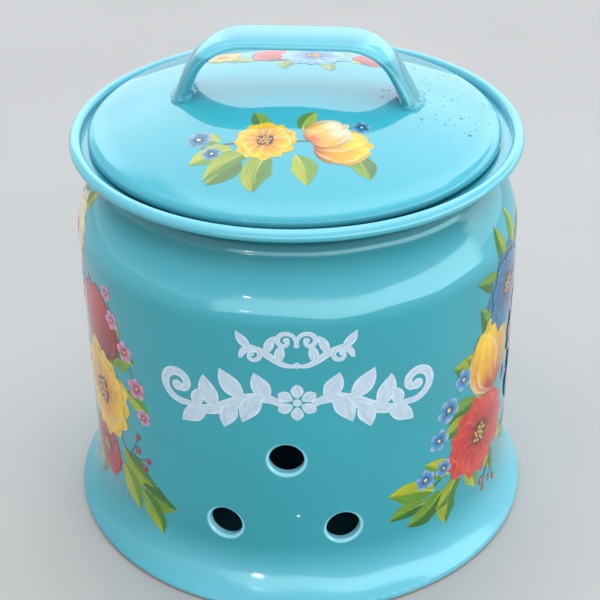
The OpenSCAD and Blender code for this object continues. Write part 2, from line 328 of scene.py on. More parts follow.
def strap_extra(n, place, axes, colour):
    """Painted light on the strap's bar, most of all below its top, and painted shade under it."""
    x, y, z = axes
    # Painted light: the bar's front made lighter, its top less so.
    bar_light = n.math("SUBTRACT", n.spread(z, *BAR_LIGHT_BELOW, 0.25, 1.0), n.spread(z, *BAR_LIGHT_TOP, 0, 0.50))
    colour = n.mix(bar_light, colour, GLAZE_EDGE_AND_LIT)
    # Painted shade: a dark line under the middle of the bar.
    middle = n.spread(n.math("ABSOLUTE", x), *BAR_END, 1, 0)
    low = n.times(middle, n.spread(z, *BAR_UNDERSIDE_SHADE, 0.9, 0))
    return n.mix(low, colour, GLAZE * 0.3), 0.0


def slip_extra(n, place, axes, colour):
    """Uneven glaze over the slip that was smeared round the handle's feet."""
    lumps = n.noise(place, 420, 3, 0.6)
    colour = n.mix(n.spread(lumps, 0.30, 0.52, 0.55, 0), colour, GLAZE * 0.35)
    return n.mix(n.spread(lumps, 0.55, 0.75, 0, 0.6), colour, GLAZE_THIN_AND_LIT), 0.0


def paint_material(name):
    """Brush strokes as glossy as the glaze. Each carries its own colour and its own way."""
    m, n, shader, place = new_material(name)
    tone = n.add("ShaderNodeAttribute", attribute_name="paint")
    stroke = n.add("ShaderNodeAttribute", attribute_name="stroke")
    shade = n.spread(n.noise(stroke.outputs["Vector"], 1.0, 3, 0.6), 0.25, 0.75, 0.80, 1.14, "LINEAR")
    grey = n.add("ShaderNodeCombineColor")
    for socket in grey.inputs[:3]:
        n.link(shade, socket)
    colour = n.mix(1.0, tone.outputs["Color"], grey.outputs[0], "MULTIPLY")
    n.link(colour, shader.inputs["Base Color"])
    gloss(n, shader, place, n.spread(n.noise(place, 60), 0.3, 0.7, 0.025, 0.05))
    return m


body_glaze = glaze_material("body_glaze", GLAZE, body_extra, BARE_RING, (17, 1.0, 0.0042))
lid_glaze = glaze_material("lid_glaze", lin(64, 178, 195), lid_extra)
handle_glaze = glaze_material("handle_glaze", lin(46, 154, 168), strap_extra)
slip_glaze = glaze_material("slip_glaze", lin(58, 172, 190), slip_extra, waves=(380, 0.8, 0.0006))
paint = paint_material("paint")
for node, material in (("bin_body", body_glaze), ("lid", lid_glaze)):
    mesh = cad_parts[node].data
    mesh.materials.clear()
    mesh.materials.append(material)


# Strokes of paint
def on_wall(xy, lift):
    """Points on the outer wall: x runs round it from the front, y up its outline."""
    turn, up = xy[..., 0] / WALL_R, xy[..., 1]
    over = np.clip(up - SHOULDER_Z, 0, None) / SHOULDER_R
    under = np.clip(FLARE_Z - up, 0, None) / SWEEP_R
    r = np.where(up > SHOULDER_Z, SHOULDER_X + SHOULDER_R * np.cos(over), WALL_R)
    r = np.where(up < FLARE_Z, SWEEP_X - SWEEP_R * np.cos(under), r)
    z = np.where(up > SHOULDER_Z, SHOULDER_Z + SHOULDER_R * np.sin(over), up)
    z = np.where(up < FLARE_Z, FLARE_Z - SWEEP_R * np.sin(under), z)
    tilt = over + under
    normal = np.stack([np.sin(turn) * np.cos(tilt), -np.cos(turn) * np.cos(tilt), np.sin(tilt)], -1)
    point = np.stack([r * np.sin(turn), -r * np.cos(turn), z], -1)
    return point + lift * normal, normal


def on_dome(xy, lift):
    """Points on the lid's dome, seen from above."""
    x, y = xy[..., 0] - LID_X, xy[..., 1]
    normal = np.stack([x, y, np.sqrt(DOME_R**2 - x * x - y * y)], -1) / DOME_R
    return np.array([LID_X, 0, BALL_Z]) + (DOME_R + lift) * normal, normal


class Painting:
    """Strokes that make up one painted piece. Each lies on those that it overlaps."""

    def __init__(self, place):
        self.place = place
        self.points, self.normals, self.colours, self.strokes, self.faces = [], [], [], [], []
        self.boxes = []
        self.count = 0

    def add(self, xy, colour, along, across, seed):
        """One stroke, as a grid of points in millimetres along the surface."""
        low, high = xy.reshape(-1, 2).min(0), xy.reshape(-1, 2).max(0)
        under = [b[2] for b in self.boxes if (b[0] < high).all() and (b[1] > low).all()]
        level = 1 + max(under, default=-1)
        self.boxes.append((low, high, level))
        point, normal = self.place(xy, PAINT_LIFT + STROKE_LIFT * level)
        rows, cols = xy.shape[:2]
        self.faces.append(grid_faces(rows, cols, self.count))
        self.points.append(point.reshape(-1, 3) / 1000)
        self.normals.append(normal.reshape(-1, 3))
        self.colours.append(np.broadcast_to(colour, (rows, cols, 3)).reshape(-1, 3))
        way = np.stack([across * 1.5, along * 0.22, np.full_like(along, seed * 5.7)], -1)
        self.strokes.append(way.reshape(-1, 3))
        self.count += rows * cols

    def finish(self, name, body):
        """The painted piece, with its faces turned outwards."""
        mesh = bpy.data.meshes.new(name)
        points, faces = np.concatenate(self.points), np.concatenate(self.faces)
        normals = np.concatenate(self.normals)
        a, b, c, d = (points[faces[:, i]] for i in range(4))
        facing = np.einsum("ij,ij->i", np.cross(c - a, d - b), normals[faces[:, 0]])
        faces[facing < 0] = faces[facing < 0][:, ::-1]
        mesh.from_pydata(points.tolist(), [], faces.tolist())
        mesh.shade_smooth()
        colour = mesh.color_attributes.new(name="paint", type="FLOAT_COLOR", domain="POINT")
        rgba = np.concatenate([np.concatenate(self.colours), np.ones((len(points), 1))], 1)
        colour.data.foreach_set("color", rgba.ravel())
        stroke = mesh.attributes.new(name="stroke", type="FLOAT_VECTOR", domain="POINT")
        stroke.data.foreach_set("vector", np.concatenate(self.strokes).ravel())
        mesh.normals_split_custom_set_from_vertices(normals.tolist())
        mesh.materials.append(paint)
        piece = new_object(name, mesh)
        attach(piece, body)


def bezier(points, t):
    """Points of a Bezier curve of any degree, and its directions."""
    p = np.asarray(points, float)
    k = len(p) - 1
    weight = lambda n, i: math.comb(n, i) * t**i * (1 - t) ** (n - i)
    at = sum(weight(k, i)[:, None] * p[i] for i in range(k + 1))
    way = sum(weight(k - 1, i)[:, None] * (p[i + 1] - p[i]) for i in range(k))
    return at, way / np.maximum(np.linalg.norm(way, axis=1, keepdims=True), 1e-9)


def ribbon(art, curve, width, colour, seed, rows, cols, wobble=0.0, notch=0.0, even=False):
    """One stroke along a curve. width and colour are functions of t along and s across."""
    u = np.linspace(0, 1, rows)
    t = u if even else (1 - np.cos(np.pi * u)) / 2
    s = np.linspace(-1, 1, cols)
    at, way = bezier(curve, t)
    side = np.stack([way[:, 1], -way[:, 0]], -1)
    half = width(t)[:, None] * np.ones(cols)
    ragged = 1 + wobble * 2 * (noise(t[:, None] * 5, np.sign(s) * 3 + 5, seed) - 0.5)
    across = s * half * ragged
    T, S = np.meshgrid(t, s, indexing="ij")
    xy = at[:, None] + across[..., None] * side[:, None]
    if notch:
        back = notch * (0.5 + 0.5 * np.cos(3 * np.pi * S + seed)) * smooth(T, 0.75, 1)
        xy = xy - back[..., None] * way[:, None]
    length = np.linalg.norm(np.diff(at, axis=0), axis=1).sum()
    art.add(xy, colour(T, S), T * length, across, seed)


def turned(x, y, angle, along, aside=0.0):
    """The point at a distance along a direction in degrees, and aside to its right."""
    a = math.radians(angle)
    return (x + along * math.cos(a) + aside * math.sin(a),
            y + along * math.sin(a) - aside * math.cos(a))


def oval(full, narrow, at):
    """Width of a petal or leaf that is fullest at a share of its length."""
    power = math.log(0.5) / math.log(at)
    return lambda t: full * np.sin(np.pi * np.clip(t, 1e-6, 1 - 1e-6) ** power) ** narrow


def petal_colour(base, middle, tip, seed, rim=None):
    """Streaks that run from a petal's base to its tip, with a lighter rim here and there."""
    def colour(T, S):
        reach = T + 0.35 * (noise(S * 4 + 9, T * 1.3, seed) - 0.5)
        c = mix(mix(base, middle, smooth(reach, 0.05, 0.38)), tip, smooth(reach, 0.45, 0.95))
        c = c * (0.86 + 0.28 * noise(S * 6, T * 2 + 4, seed + 3))[..., None]
        if rim is not None:
            edge = smooth(np.abs(S), 0.78, 1) * smooth(noise(T * 3, S, seed + 5), 0.42, 0.6)
            c = mix(c, rim, 0.6 * edge)
        return c
    return colour


LEAVES = [(lin(58, 124, 6), lin(166, 180, 0)), (lin(96, 148, 4), lin(188, 190, 8)),
          (lin(40, 108, 12), lin(122, 164, 6))]
STEM, BERRY_STEM = lin(58, 112, 24), lin(78, 84, 52)


def leaf(art, x, y, angle, length, full, seed, kind, bend, pale=0.0):
    """A two-toned leaf with a vein."""
    dark, light = (mix(c, lin(214, 222, 160), pale) for c in LEAVES[kind % len(LEAVES)])
    curve = [(x, y), turned(x, y, angle, length * 0.5, bend * length), turned(x, y, angle, length)]

    def colour(T, S):
        half = smooth(S + 0.25 * (noise(T * 4, S, seed) - 0.5), -0.25, 0.2)
        c = mix(dark, light, half * (0.55 + 0.45 * T))
        return c * (0.84 + 0.3 * noise(S * 5, T * 3, seed + 2))[..., None]

    ribbon(art, curve, oval(full * 0.56, 0.85, 0.44), colour, seed, 15, 9, wobble=0.22)
    vein = [curve[0], turned(x, y, angle, length * 0.42, bend * length * 0.9),
            turned(x, y, angle, length * 0.8)]
    line = mix(light, lin(226, 228, 140), 0.6)
    ribbon(art, vein, lambda t: 0.30 * (1 - 0.8 * t), lambda T, S: mix(line, light, T * 0.6), seed + 1, 9, 3)


def leaves(art, spots, seed, shift, pale=0.0):
    """Loose leaves. spots holds a place, a direction, a length and a width for each."""
    for i, spot in enumerate(spots):
        leaf(art, *spot, seed + i, i + shift, 0.16 * (-1) ** i, pale)


def stem(art, points, full, seed, colour=STEM):
    """A thin stroke that gets narrower towards its end."""
    reach = sum(math.dist(p, q) for p, q in zip(points, points[1:]))
    shade = lambda T, S: mix(colour * 0.8, colour * 1.25, noise(T * 6, S * 2, seed))
    ribbon(art, points, lambda t: full * (1 - 0.45 * t), shade, seed, 6 + int(reach / 2), 3, even=True)


def tuck(art, x, y, r, seed, *ways):
    """Leaves that come out from under a flower. ways are pairs of a direction and a length."""
    for i, (angle, length) in enumerate(ways):
        x0, y0 = turned(x, y, angle, 0.55 * r)
        leaf(art, x0, y0, angle + 6 * (-1) ** i, length + 0.45 * r, 0.42 * length + 3.5, seed + i, seed + i,
             0.14 * (-1) ** (i + seed))


def disc(art, x, y, r, colour, seed, rough=0.08):
    """A round dab. colour is a function of the share of the radius and the angle."""
    share, turn = np.linspace(0, 1, 5), np.linspace(0, 2 * np.pi, 17)
    R, A = np.meshgrid(share, turn, indexing="ij")
    ragged = 1 + rough * 2 * (noise(3 + 2 * np.cos(A), 3 + 2 * np.sin(A), seed) - 0.5)
    xy = np.stack([x + r * R * ragged * np.cos(A), y + r * R * ragged * np.sin(A)], -1)
    art.add(xy, colour(R, A), R * r, A * r, seed)


def daisy(art, x, y, r, count, base, middle, tip, heart, seed, rim=None):
    """An open flower of many narrow petals in two rounds, the first under the second."""
    rng = np.random.default_rng(seed)
    width = oval(r * math.sin(math.pi / count) * 1.12, 0.75, 0.62)
    for ring, reach, shade, tip_shade in ((0, 1.0, 0.82, 0.9), (1, 0.86, 1.0, 1.0)):
        for i in range(count):
            a = 360 * (i + 0.5 * ring) / count + rng.uniform(-5, 5)
            length = r * reach * rng.uniform(0.9, 1.04)
            bend = rng.uniform(-0.06, 0.06) * r
            ends = [turned(x, y, a, d, w) for d, w in ((0.1 * r, 0), (0.55 * length, bend), (length, 0))]
            own = seed * 31 + i + 50 * ring
            colour = petal_colour(base * shade, middle * shade, tip * tip_shade, own, rim)
            ribbon(art, ends, width, colour, seed + i, 12, 7, 0.14, notch=0.05 * r)
    dark, lit = heart
    disc(art, x, y, 0.24 * r, lambda R, A: mix(dark, dark * 0.45, R * noise(A * 2, R, seed)), seed, 0.25)
    for i in range(13):
        a, d = 2.4 * i, 0.055 * r * math.sqrt(i + 0.3)
        disc(art, x + d * math.cos(a), y + d * math.sin(a), 0.032 * r + 0.12,
             lambda R, A: mix(lit, lit * 0.7, R), seed + i)


# A tulip's petals: each one's lean in degrees, and its width, length and shade as shares
TULIP_PETALS = ((-17, 0.30, 0.94, 0.72), (17, 0.30, 0.95, 0.72), (0, 0.28, 1.0, 0.8),
                (-10, 0.27, 0.9, 1.0), (11, 0.27, 0.92, 0.96), (1, 0.24, 0.84, 1.12))


def tulip(art, x, y, angle, height, base, middle, tip, seed, rim=None):
    """A cup of petals seen from the side, on the point where its stem ends."""
    for i, (lean, wide, reach, shade) in enumerate(TULIP_PETALS):
        a = angle + lean
        curve = [(x, y), turned(x, y, a, height * 0.45, -0.16 * height * np.sign(lean)),
                 turned(x, y, a - lean * 0.35, height * reach)]
        ribbon(art, curve, oval(height * wide, 0.7, 0.44),
               petal_colour(base * shade, middle * shade, tip * shade, seed * 17 + i, rim),
               seed + i, 15, 9, 0.12, notch=0.03 * height)


def small_flower(art, x, y, r, petal, heart, eye, seed):
    """A little open flower of five round petals."""
    rng = np.random.default_rng(seed)
    turn = rng.uniform(0, 72)
    for i in range(5):
        a = turn + 72 * i
        ends = [turned(x, y, a, d) for d in (0.05 * r, 0.5 * r, r * rng.uniform(0.92, 1.05))]
        colour = petal_colour(heart, petal, mix(petal, lin(236, 240, 248), 0.35), seed * 13 + i)
        ribbon(art, ends, oval(r * 0.42, 0.62, 0.6), colour, seed + i, 11, 7, 0.1)
    disc(art, x, y, 0.27 * r, lambda R, A: mix(eye, heart, smooth(R, 0.35, 0.8)), seed, 0.2)


def small_flowers(art, spots, petal, heart, eye, seed):
    """Little flowers. spots holds a place and a radius for each."""
    for i, spot in enumerate(spots):
        small_flower(art, *spot, petal, heart, eye, seed + i)


def berries(art, x, y, angle, seed, count, colour):
    """A loose spray of round berries on thin stems."""
    rng = np.random.default_rng(seed)
    for i in range(count):
        a = angle + (i - (count - 1) / 2) * 21 + rng.uniform(-5, 5)
        d = 13 + 5 * (i % 2) + rng.uniform(-1.5, 1.5)
        end = turned(x, y, a, d)
        stem(art, [(x, y), turned(x, y, a, d * 0.5, rng.uniform(-2, 2)), end], 0.38, seed + i, BERRY_STEM)
        r = rng.uniform(1.7, 2.5)
        disc(art, end[0], end[1], r, lambda R, A: mix(colour * 1.25, colour * 0.55, R), seed + i)
        disc(art, end[0] - 0.3 * r, end[1] + 0.35 * r, 0.24 * r,
             lambda R, A: mix(lin(250, 226, 226), colour, R), seed + i)


RED = (lin(84, 2, 8), lin(156, 5, 14), lin(190, 14, 20))
CORAL = (lin(120, 8, 10), lin(192, 26, 22), lin(220, 64, 46))
GOLD = (lin(170, 58, 2), lin(224, 160, 0), lin(246, 204, 22))
BLUE = (lin(4, 26, 78), lin(4, 86, 134), lin(16, 122, 166))
SKY = (lin(8, 50, 112), lin(56, 138, 190), lin(128, 188, 220))
CREAM = lin(246, 236, 202)
BROWN = (lin(104, 34, 18), lin(240, 196, 80))
NAVY = (lin(20, 26, 62), lin(248, 176, 60))
PINK, PLUM = lin(200, 112, 152), lin(100, 12, 52)
RED_BERRY, ORANGE_BERRY = lin(176, 36, 44), lin(196, 92, 28)
BLUE_RIM, CORAL_RIM, ROSE_RIM = lin(80, 150, 190), lin(236, 120, 100), lin(240, 150, 136)
PALE, PALE_EDGE = lin(192, 214, 228), lin(216, 234, 244)


# Painted pieces
def arc(degrees):
    """Length round the wall from its front to a direction."""
    return math.radians(degrees) * WALL_R


def round_wall(spots):
    """The spots with their first value, a direction in degrees, made a length round the wall."""
    return [(arc(turn), *rest) for turn, *rest in spots]


def wall_left(art):
    """Garland on the wall's left side, hanging from the shoulder."""
    stem(art, round_wall(((-78, 158), (-64, 140), (-54, 112), (-64, 66), (-34, 44))), 0.9, 1)
    stem(art, round_wall(((-60, 112), (-50, 122), (-44, 118), (-41, 104))), 0.5, 2)
    stem(art, round_wall(((-52, 128), (-50, 140), (-52, 146))), 0.5, 2)
    leaves(art, round_wall((
        (-49, 60, -26, 28, 14), (-50, 50, -62, 25, 13), (-42, 46, -12, 24, 12.5), (-42, 42, -54, 24, 12),
        (-58, 60, -84, 25, 11), (-52, 108, 24, 22, 10.5), (-54, 118, 52, 20, 9),
        (-46, 96, -20, 18, 8.5))), 20, 0)
    tuck(art, arc(-76), 158, 20, 31, (62, 13), (122, 14), (160, 15), (196, 13))
    tuck(art, arc(-89), 121, 24, 41, (140, 14), (28, 12))
    tuck(art, arc(-112), 120, 22, 51, (66, 14), (112, 15), (158, 16), (204, 16), (250, 14))
    tuck(art, arc(-92), 70, 14, 61, (205, 17), (238, 16), (272, 16), (305, 14), (340, 14), (168, 15))
    tuck(art, arc(-60), 50, 19, 71, (212, 15), (246, 14))
    daisy(art, arc(-76), 158, 20, 12, lin(224, 176, 84), lin(246, 224, 140), CREAM, BROWN, 4)
    tulip(art, arc(-55), 106, 112, 43, *RED, 7, rim=lin(214, 70, 60))
    daisy(art, arc(-60), 50, 19, 12, *RED, BROWN, 3, rim=lin(236, 150, 140))
    tulip(art, arc(-91), 64, 88, 38, *GOLD, 9, rim=CREAM)
    daisy(art, arc(-59), 85, 28, 13, *GOLD, BROWN, 6, rim=CREAM)
    daisy(art, arc(-112), 120, 22, 12, *CORAL, BROWN, 8, rim=CORAL_RIM)
    daisy(art, arc(-89), 121, 24, 13, *BLUE, NAVY, 5, rim=BLUE_RIM)
    small_flowers(art, round_wall((
        (-41, 103, 6.2), (-45, 120, 5.8), (-50, 133, 5.2), (-39, 88, 4.8), (-52, 146, 4.4), (-76, 96, 5.2),
        (-73, 88, 4.2), (-101, 146, 5.0), (-104, 94, 5.4))), PINK, PLUM, lin(236, 190, 110), 60)
    berries(art, arc(-47), 58, 30, 71, 4, RED_BERRY)
    berries(art, arc(-119), 102, 214, 72, 5, RED_BERRY)


def wall_right(art):
    """Garland on the wall's right side, rising from the base."""
    stem(art, round_wall(((30, 46), (46, 46), (62, 84), (76, 112), (74, 138))), 0.9, 3)
    stem(art, round_wall(((58, 62), (50, 82), (45, 92))), 0.6, 4)
    leaves(art, round_wall((
        (41, 49, 166, 27, 12.5), (44, 47, 212, 25, 12), (48, 46, 258, 22, 11), (53, 50, 300, 20, 9),
        (38, 44, 190, 20, 9), (50, 52, 226, 22, 10), (46, 54, 140, 20, 10), (56, 90, 178, 25, 12),
        (58, 100, 146, 27, 12.5), (64, 110, 164, 26, 11.5), (62, 120, 122, 22, 10.5),
        (52, 84, 196, 18, 9))), 40, 1)
    tuck(art, arc(72), 138, 24, 32, (152, 13), (112, 14), (78, 15), (44, 15), (12, 13))
    tuck(art, arc(89), 106, 24, 42, (62, 15), (30, 12))
    tuck(art, arc(102), 100, 12, 52, (-10, 17), (-46, 16), (-84, 14), (86, 17), (112, 14))
    tuck(art, arc(85), 58, 12, 62, (-24, 17), (-62, 17), (-98, 16), (-134, 14), (10, 15))
    tuck(art, arc(59), 66, 27, 72, (-62, 12), (-30, 12))
    daisy(art, arc(59), 66, 27, 13, *CORAL, BROWN, 12, rim=CORAL_RIM)
    tulip(art, arc(65), 88, 102, 43, *GOLD, 16, rim=CREAM)
    daisy(art, arc(72), 138, 24, 12, *BLUE, NAVY, 15, rim=BLUE_RIM)
    tulip(art, arc(102), 98, 48, 32, *GOLD, 11, rim=CREAM)
    daisy(art, arc(89), 106, 24, 12, *RED, BROWN, 13, rim=lin(216, 70, 60))
    tulip(art, arc(84), 58, 66, 34, *BLUE, 14, rim=BLUE_RIM)
    small_flowers(art, round_wall((
        (45, 93, 7.4), (50, 106, 6.2), (42, 78, 6.2), (38, 58, 6.2), (44, 60, 5.2), (86, 140, 5.6),
        (90, 133, 4.6), (101, 76, 5.4), (97, 69, 4.4), (75, 84, 5.2))),
        SKY[1], SKY[0], lin(250, 226, 120), 80)
    berries(art, arc(66), 42, 262, 73, 4, ORANGE_BERRY)
    berries(art, arc(111), 118, 30, 74, 4, ORANGE_BERRY)


def lid_front(art):
    """Spray on the front of the dome."""
    stem(art, [(-38, -54), (-16, -48), (10, -56), (32, -42)], 0.7, 5)
    leaves(art, (
        (-24, -56, 205, 20, 11), (-22, -59, 238, 22, 12), (-8, -60, 258, 24, 12), (4, -60, 288, 20, 10),
        (-12, -42, 110, 15, 8), (6, -42, 72, 16, 8), (-30, -50, 165, 16, 8), (28, -56, 300, 18, 10),
        (-16, -58, 222, 26, 9)), 90, 1, pale=0.12)
    daisy(art, -10, -50, 15, 12, *GOLD, BROWN, 21, rim=CREAM)
    tulip(art, 12, -54, 12, 27, *GOLD, 22, rim=CREAM)
    tulip(art, 10, -50, 42, 22, lin(200, 96, 40), lin(232, 176, 70), CREAM, 23)
    small_flowers(art, ((-40, -47, 6.2), (-33, -58, 4.6), (32, -36, 4.6)),
                  BLUE[2], BLUE[0], lin(244, 226, 150), 100)


def lid_back(art):
    """Spray on the back of the dome."""
    stem(art, [(-44, 40), (-14, 30), (14, 34), (46, 44)], 0.7, 6)
    leaves(art, (
        (-24, 34, 160, 18, 8), (24, 36, 20, 18, 8), (-4, 34, 255, 14, 7), (10, 34, 290, 15, 7),
        (-14, 38, 120, 18, 8), (14, 38, 60, 18, 8)), 110, 0, pale=0.12)
    tulip(art, -12, 34, 100, 24, *CORAL, 24, rim=ROSE_RIM)
    daisy(art, 6, 44, 18, 12, *SKY, NAVY, 25, rim=lin(214, 232, 242))
    tulip(art, 28, 38, 40, 22, *CORAL, 26, rim=ROSE_RIM)
    daisy(art, -40, 46, 10, 11, *GOLD, BROWN, 27, rim=CREAM)
    small_flower(art, 46, 50, 5.0, lin(226, 190, 90), lin(176, 96, 40), lin(248, 232, 190), 120)


def pale_colour(seed):
    """The plain scroll's colour, lighter along its edges."""
    def colour(T, S):
        shade = 0.97 + 0.06 * noise(T * 4, S * 2, seed)
        return mix(PALE, PALE_EDGE, smooth(np.abs(S), 0.6, 0.95)) * shade[..., None]
    return colour


def pale_dab(R, A):
    """The same colour on a round dab."""
    return mix(PALE, PALE_EDGE, smooth(R, 0.6, 1))


def curl(art, x, y, start, turns, reach, full, way, seed):
    """A spiral that winds in from the end of a stroke, with a round dab at its eye."""
    t = np.linspace(0, 1, 44)
    turn = math.radians(start) + way * 2 * np.pi * turns * t
    r = reach * (1 - 0.82 * t**0.85)
    at = np.stack([x + r * np.cos(turn), y + r * np.sin(turn)], -1)
    step = np.gradient(at, axis=0)
    step /= np.linalg.norm(step, axis=1, keepdims=True)
    s = np.linspace(-1, 1, 5)
    half = full * (0.55 + 0.45 * np.sin(np.pi * np.clip(t * 0.9 + 0.1, 0, 1)))
    across = half[:, None] * s
    xy = at[:, None] + across[..., None] * np.stack([step[:, 1], -step[:, 0]], -1)[:, None]
    T, S = np.meshgrid(t, s, indexing="ij")
    art.add(xy, pale_colour(seed)(T, S), T * reach * 6, across, seed)
    disc(art, at[-1, 0], at[-1, 1], full * 1.25, pale_dab, seed, rough=0)


def wall_ornament(art):
    """A plain pale scroll with leaves on the front of the wall, the same to both sides."""
    middle = arc(3.85)
    for side in (-1, 1):
        at = lambda x, y: (middle + side * x, y)
        way = lambda degrees: degrees if side > 0 else 180 - degrees

        def frond(x, y, angle, length, full, seed):
            x0, y0 = at(x, y)
            a = way(angle)
            curve = [(x0, y0), turned(x0, y0, a, length * 0.5, 0.14 * length * side * np.sign(angle)),
                     turned(x0, y0, a, length)]
            ribbon(art, curve, oval(full / 2, 0.9, 0.45), pale_colour(seed), seed, 15, 7)

        stroke = [at(7, 116), at(24, 127), at(34, 102), at(52, 109)]
        ribbon(art, stroke, lambda t: 1.7 + 1.5 * np.sin(np.pi * t), pale_colour(1), 5, 36, 5, even=True)
        curl(art, *at(56, 118.5), way(-115), 1.15, 10.5, 2.3, side, 6)
        for i, leaf_at in enumerate((
                (12, 119, 62, 15, 8.8), (16, 120, -60, 18, 9.4), (24, 118, 52, 18, 9.4),
                (28, 114, -68, 15, 8.6), (37, 110, 70, 18, 9.4), (42, 107, -34, 16, 8.6),
                (47, 108, 100, 11, 6.4))):
            frond(*leaf_at, 8 + i)
        top = [at(0, 137), at(9, 134), at(13, 146), at(21, 149), at(25, 140)]
        ribbon(art, top, lambda t: 0.8 + 0.95 * np.sin(np.pi * t), pale_colour(2), 7, 30, 5, even=True)
        curl(art, *at(19.5, 141.5), way(-20), 1.2, 5.8, 1.15, side, 9)
        curl(art, *at(5.2, 149.5), way(215), 1.2, 5.6, 1.15, -side, 10)
        for i, leaf_at in enumerate((
                (7.6, 138.2, 100, 10, 4.6), (13.2, 142.6, 112, 10.5, 4.4), (20, 145, 52, 11, 4.6))):
            frond(*leaf_at, 20 + i)
    for i in range(6):
        angle = 60 * i + 30
        petal = [turned(middle, 117, angle, d) for d in (2.2, 6.0, 9.8)]
        ribbon(art, petal, oval(2.9, 0.7, 0.55), pale_colour(i), 30 + i, 11, 5)
    disc(art, middle, 117, 1.9, pale_dab, 3, rough=0)
    disc(art, middle, 137, 1.6, pale_dab, 4, rough=0)


for name, draw, place, body, slot in (
        ("garland_left", wall_left, on_wall, "bin", "body_glaze"),
        ("garland_right", wall_right, on_wall, "bin", "body_glaze"),
        ("scroll_front", wall_ornament, on_wall, "bin", "body_glaze"),
        ("spray_front", lid_front, on_dome, "lid", "lid_glaze"),
        ("spray_back", lid_back, on_dome, "lid", "lid_glaze")):
    art = Painting(place)
    draw(art)
    art.finish(name, body)


# Handle
def make_strap():
    """The strap handle, rounded smoothly from the CAD part's own corners."""
    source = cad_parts["lid_handle"].data
    work = bmesh.new()
    work.from_mesh(source)
    bmesh.ops.remove_doubles(work, verts=work.verts, dist=1e-6)
    tree = BVHTree.FromBMesh(work)
    bmesh.ops.join_triangles(work, faces=work.faces, angle_face_threshold=math.radians(25),
                             angle_shape_threshold=math.radians(60))
    mesh = bpy.data.meshes.new("strap")
    work.to_mesh(mesh)
    work.free()
    for name in ("custom_normal", "sharp_edge", "sharp_face"):
        if name in mesh.attributes:
            mesh.attributes.remove(mesh.attributes[name])
    mesh.shade_smooth()
    mesh.materials.clear()
    mesh.materials.append(handle_glaze)
    piece = new_object("strap", mesh)
    rounder = piece.modifiers.new("round", "SUBSURF")
    rounder.levels = rounder.render_levels = 1
    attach(piece, "lid")
    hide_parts("lid_handle")
    for name, side, ragged in (("slip_left", -1, 1.1), ("slip_right", 1, 0.9)):
        make_slip(name, tree, [v.co for v in mesh.vertices if v.co.x * side > 0], ragged)


def make_slip(name, tree, corners, ragged):
    """Slip smeared round one foot of the strap, from the strap's side down to the dome.

    corners are those of the strap's half, and tree finds points on its surface.
    """
    # The strap's half length and width give the directions round it. The rest is in metres: the corners
    # near the dome, the height where the slip starts, and how far it sinks into the dome and the strap.
    half_long, half_wide, reach = 12.5, 4.0, 0.03
    near_dome, start, in_dome, in_strap = 0.0006, 0.0004, 0.00003, 0.00005
    ball, dome_r = Vector((LID_X, 0, BALL_Z)) / 1000, DOME_R / 1000
    ring = [corner for corner in corners if (corner - ball).length < dome_r + near_dome]
    foot = sum(ring, Vector()) / len(ring)
    out = (foot - ball).normalized()
    along = Vector((0, 1, 0)) - out * out.y
    along.normalize()
    across = along.cross(out)
    steps, rows = 120, 9

    def touch(turn, height):
        """The point on the strap's side at a height above the dome, and the way out to it."""
        way = (along * (math.cos(turn) * half_long) + across * (math.sin(turn) * half_wide)).normalized()
        hit, _, _, _ = tree.ray_cast(foot + out * height + way * reach, -way, 0.05)
        if hit is None:
            raise SystemExit("slip misses the strap")
        return hit, way

    verts, faces = [], []
    for i in range(steps):
        turn = 2 * math.pi * i / steps
        u, v = 3 + 2.4 * math.cos(turn), 3 + 2.4 * math.sin(turn)
        low, way = touch(turn, start)
        uneven = ragged * (0.25 + 0.75 * max(0.0, min(1.0, 0.45 + 0.75 * way.x)))
        rough = float(noise(u * 2.2, v * 2.2, 3)) * uneven
        fine = float(noise(u * 7, v * 7, 5)) * uneven
        tall = (0.5 + 1.8 * rough + 1.0 * fine) / 1000
        wide = (0.6 + 1.9 * rough + 1.1 * fine) / 1000
        high, _ = touch(turn, tall)
        edge = low + way * wide
        edge = ball + (edge - ball).normalized() * (dome_r - in_dome)
        top = high - way * in_strap
        knee = low + way * (0.25 * wide) + out * (0.2 * tall)
        for j in range(rows):
            t = j / (rows - 1)
            point = edge * (1 - t) ** 2 + knee * (2 * t * (1 - t)) + top * t * t
            lump = float(noise(u * 9 + 2, v * 9 + j * 0.7, 8)) * uneven * math.sin(math.pi * t) * 0.0008
            verts.append(point + (out + way) * (0.7071 * lump))
    for i in range(steps):
        for j in range(rows - 1):
            a, b = i * rows + j, (i + 1) % steps * rows + j
            faces.append((a, b, b + 1, a + 1))
    mesh = bpy.data.meshes.new(name)
    mesh.from_pydata(verts, [], faces)
    if mesh.polygons[0].normal.dot(out) < 0:
        mesh.flip_normals()
    mesh.shade_smooth()
    mesh.materials.append(slip_glaze)
    piece = new_object(name, mesh)
    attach(piece, "lid")


make_strap()


# Camera, floor and light
def make_camera():
    """The camera, a little to the right of the front and looking down."""
    turn, rise, away, roll = math.radians(4.5), 0.55612, 0.7636, -0.01257
    aim_right, aim_height = 0.00057, 0.10424
    back = Vector((math.sin(turn) * math.cos(rise), -math.cos(turn) * math.cos(rise), math.sin(rise)))
    right = Vector((math.cos(turn), math.sin(turn), 0))
    up = back.cross(right)
    axes = (right * math.cos(roll) + up * math.sin(roll), up * math.cos(roll) - right * math.sin(roll), back)
    matrix = Matrix(axes).transposed().to_4x4()
    matrix.translation = right * aim_right + Vector((0, 0, aim_height)) + back * away
    data = bpy.data.cameras.new("camera")
    data.lens, data.sensor_width = 90, 36
    camera = new_object("camera", data)
    camera.matrix_world = matrix
    bpy.context.scene.camera = camera


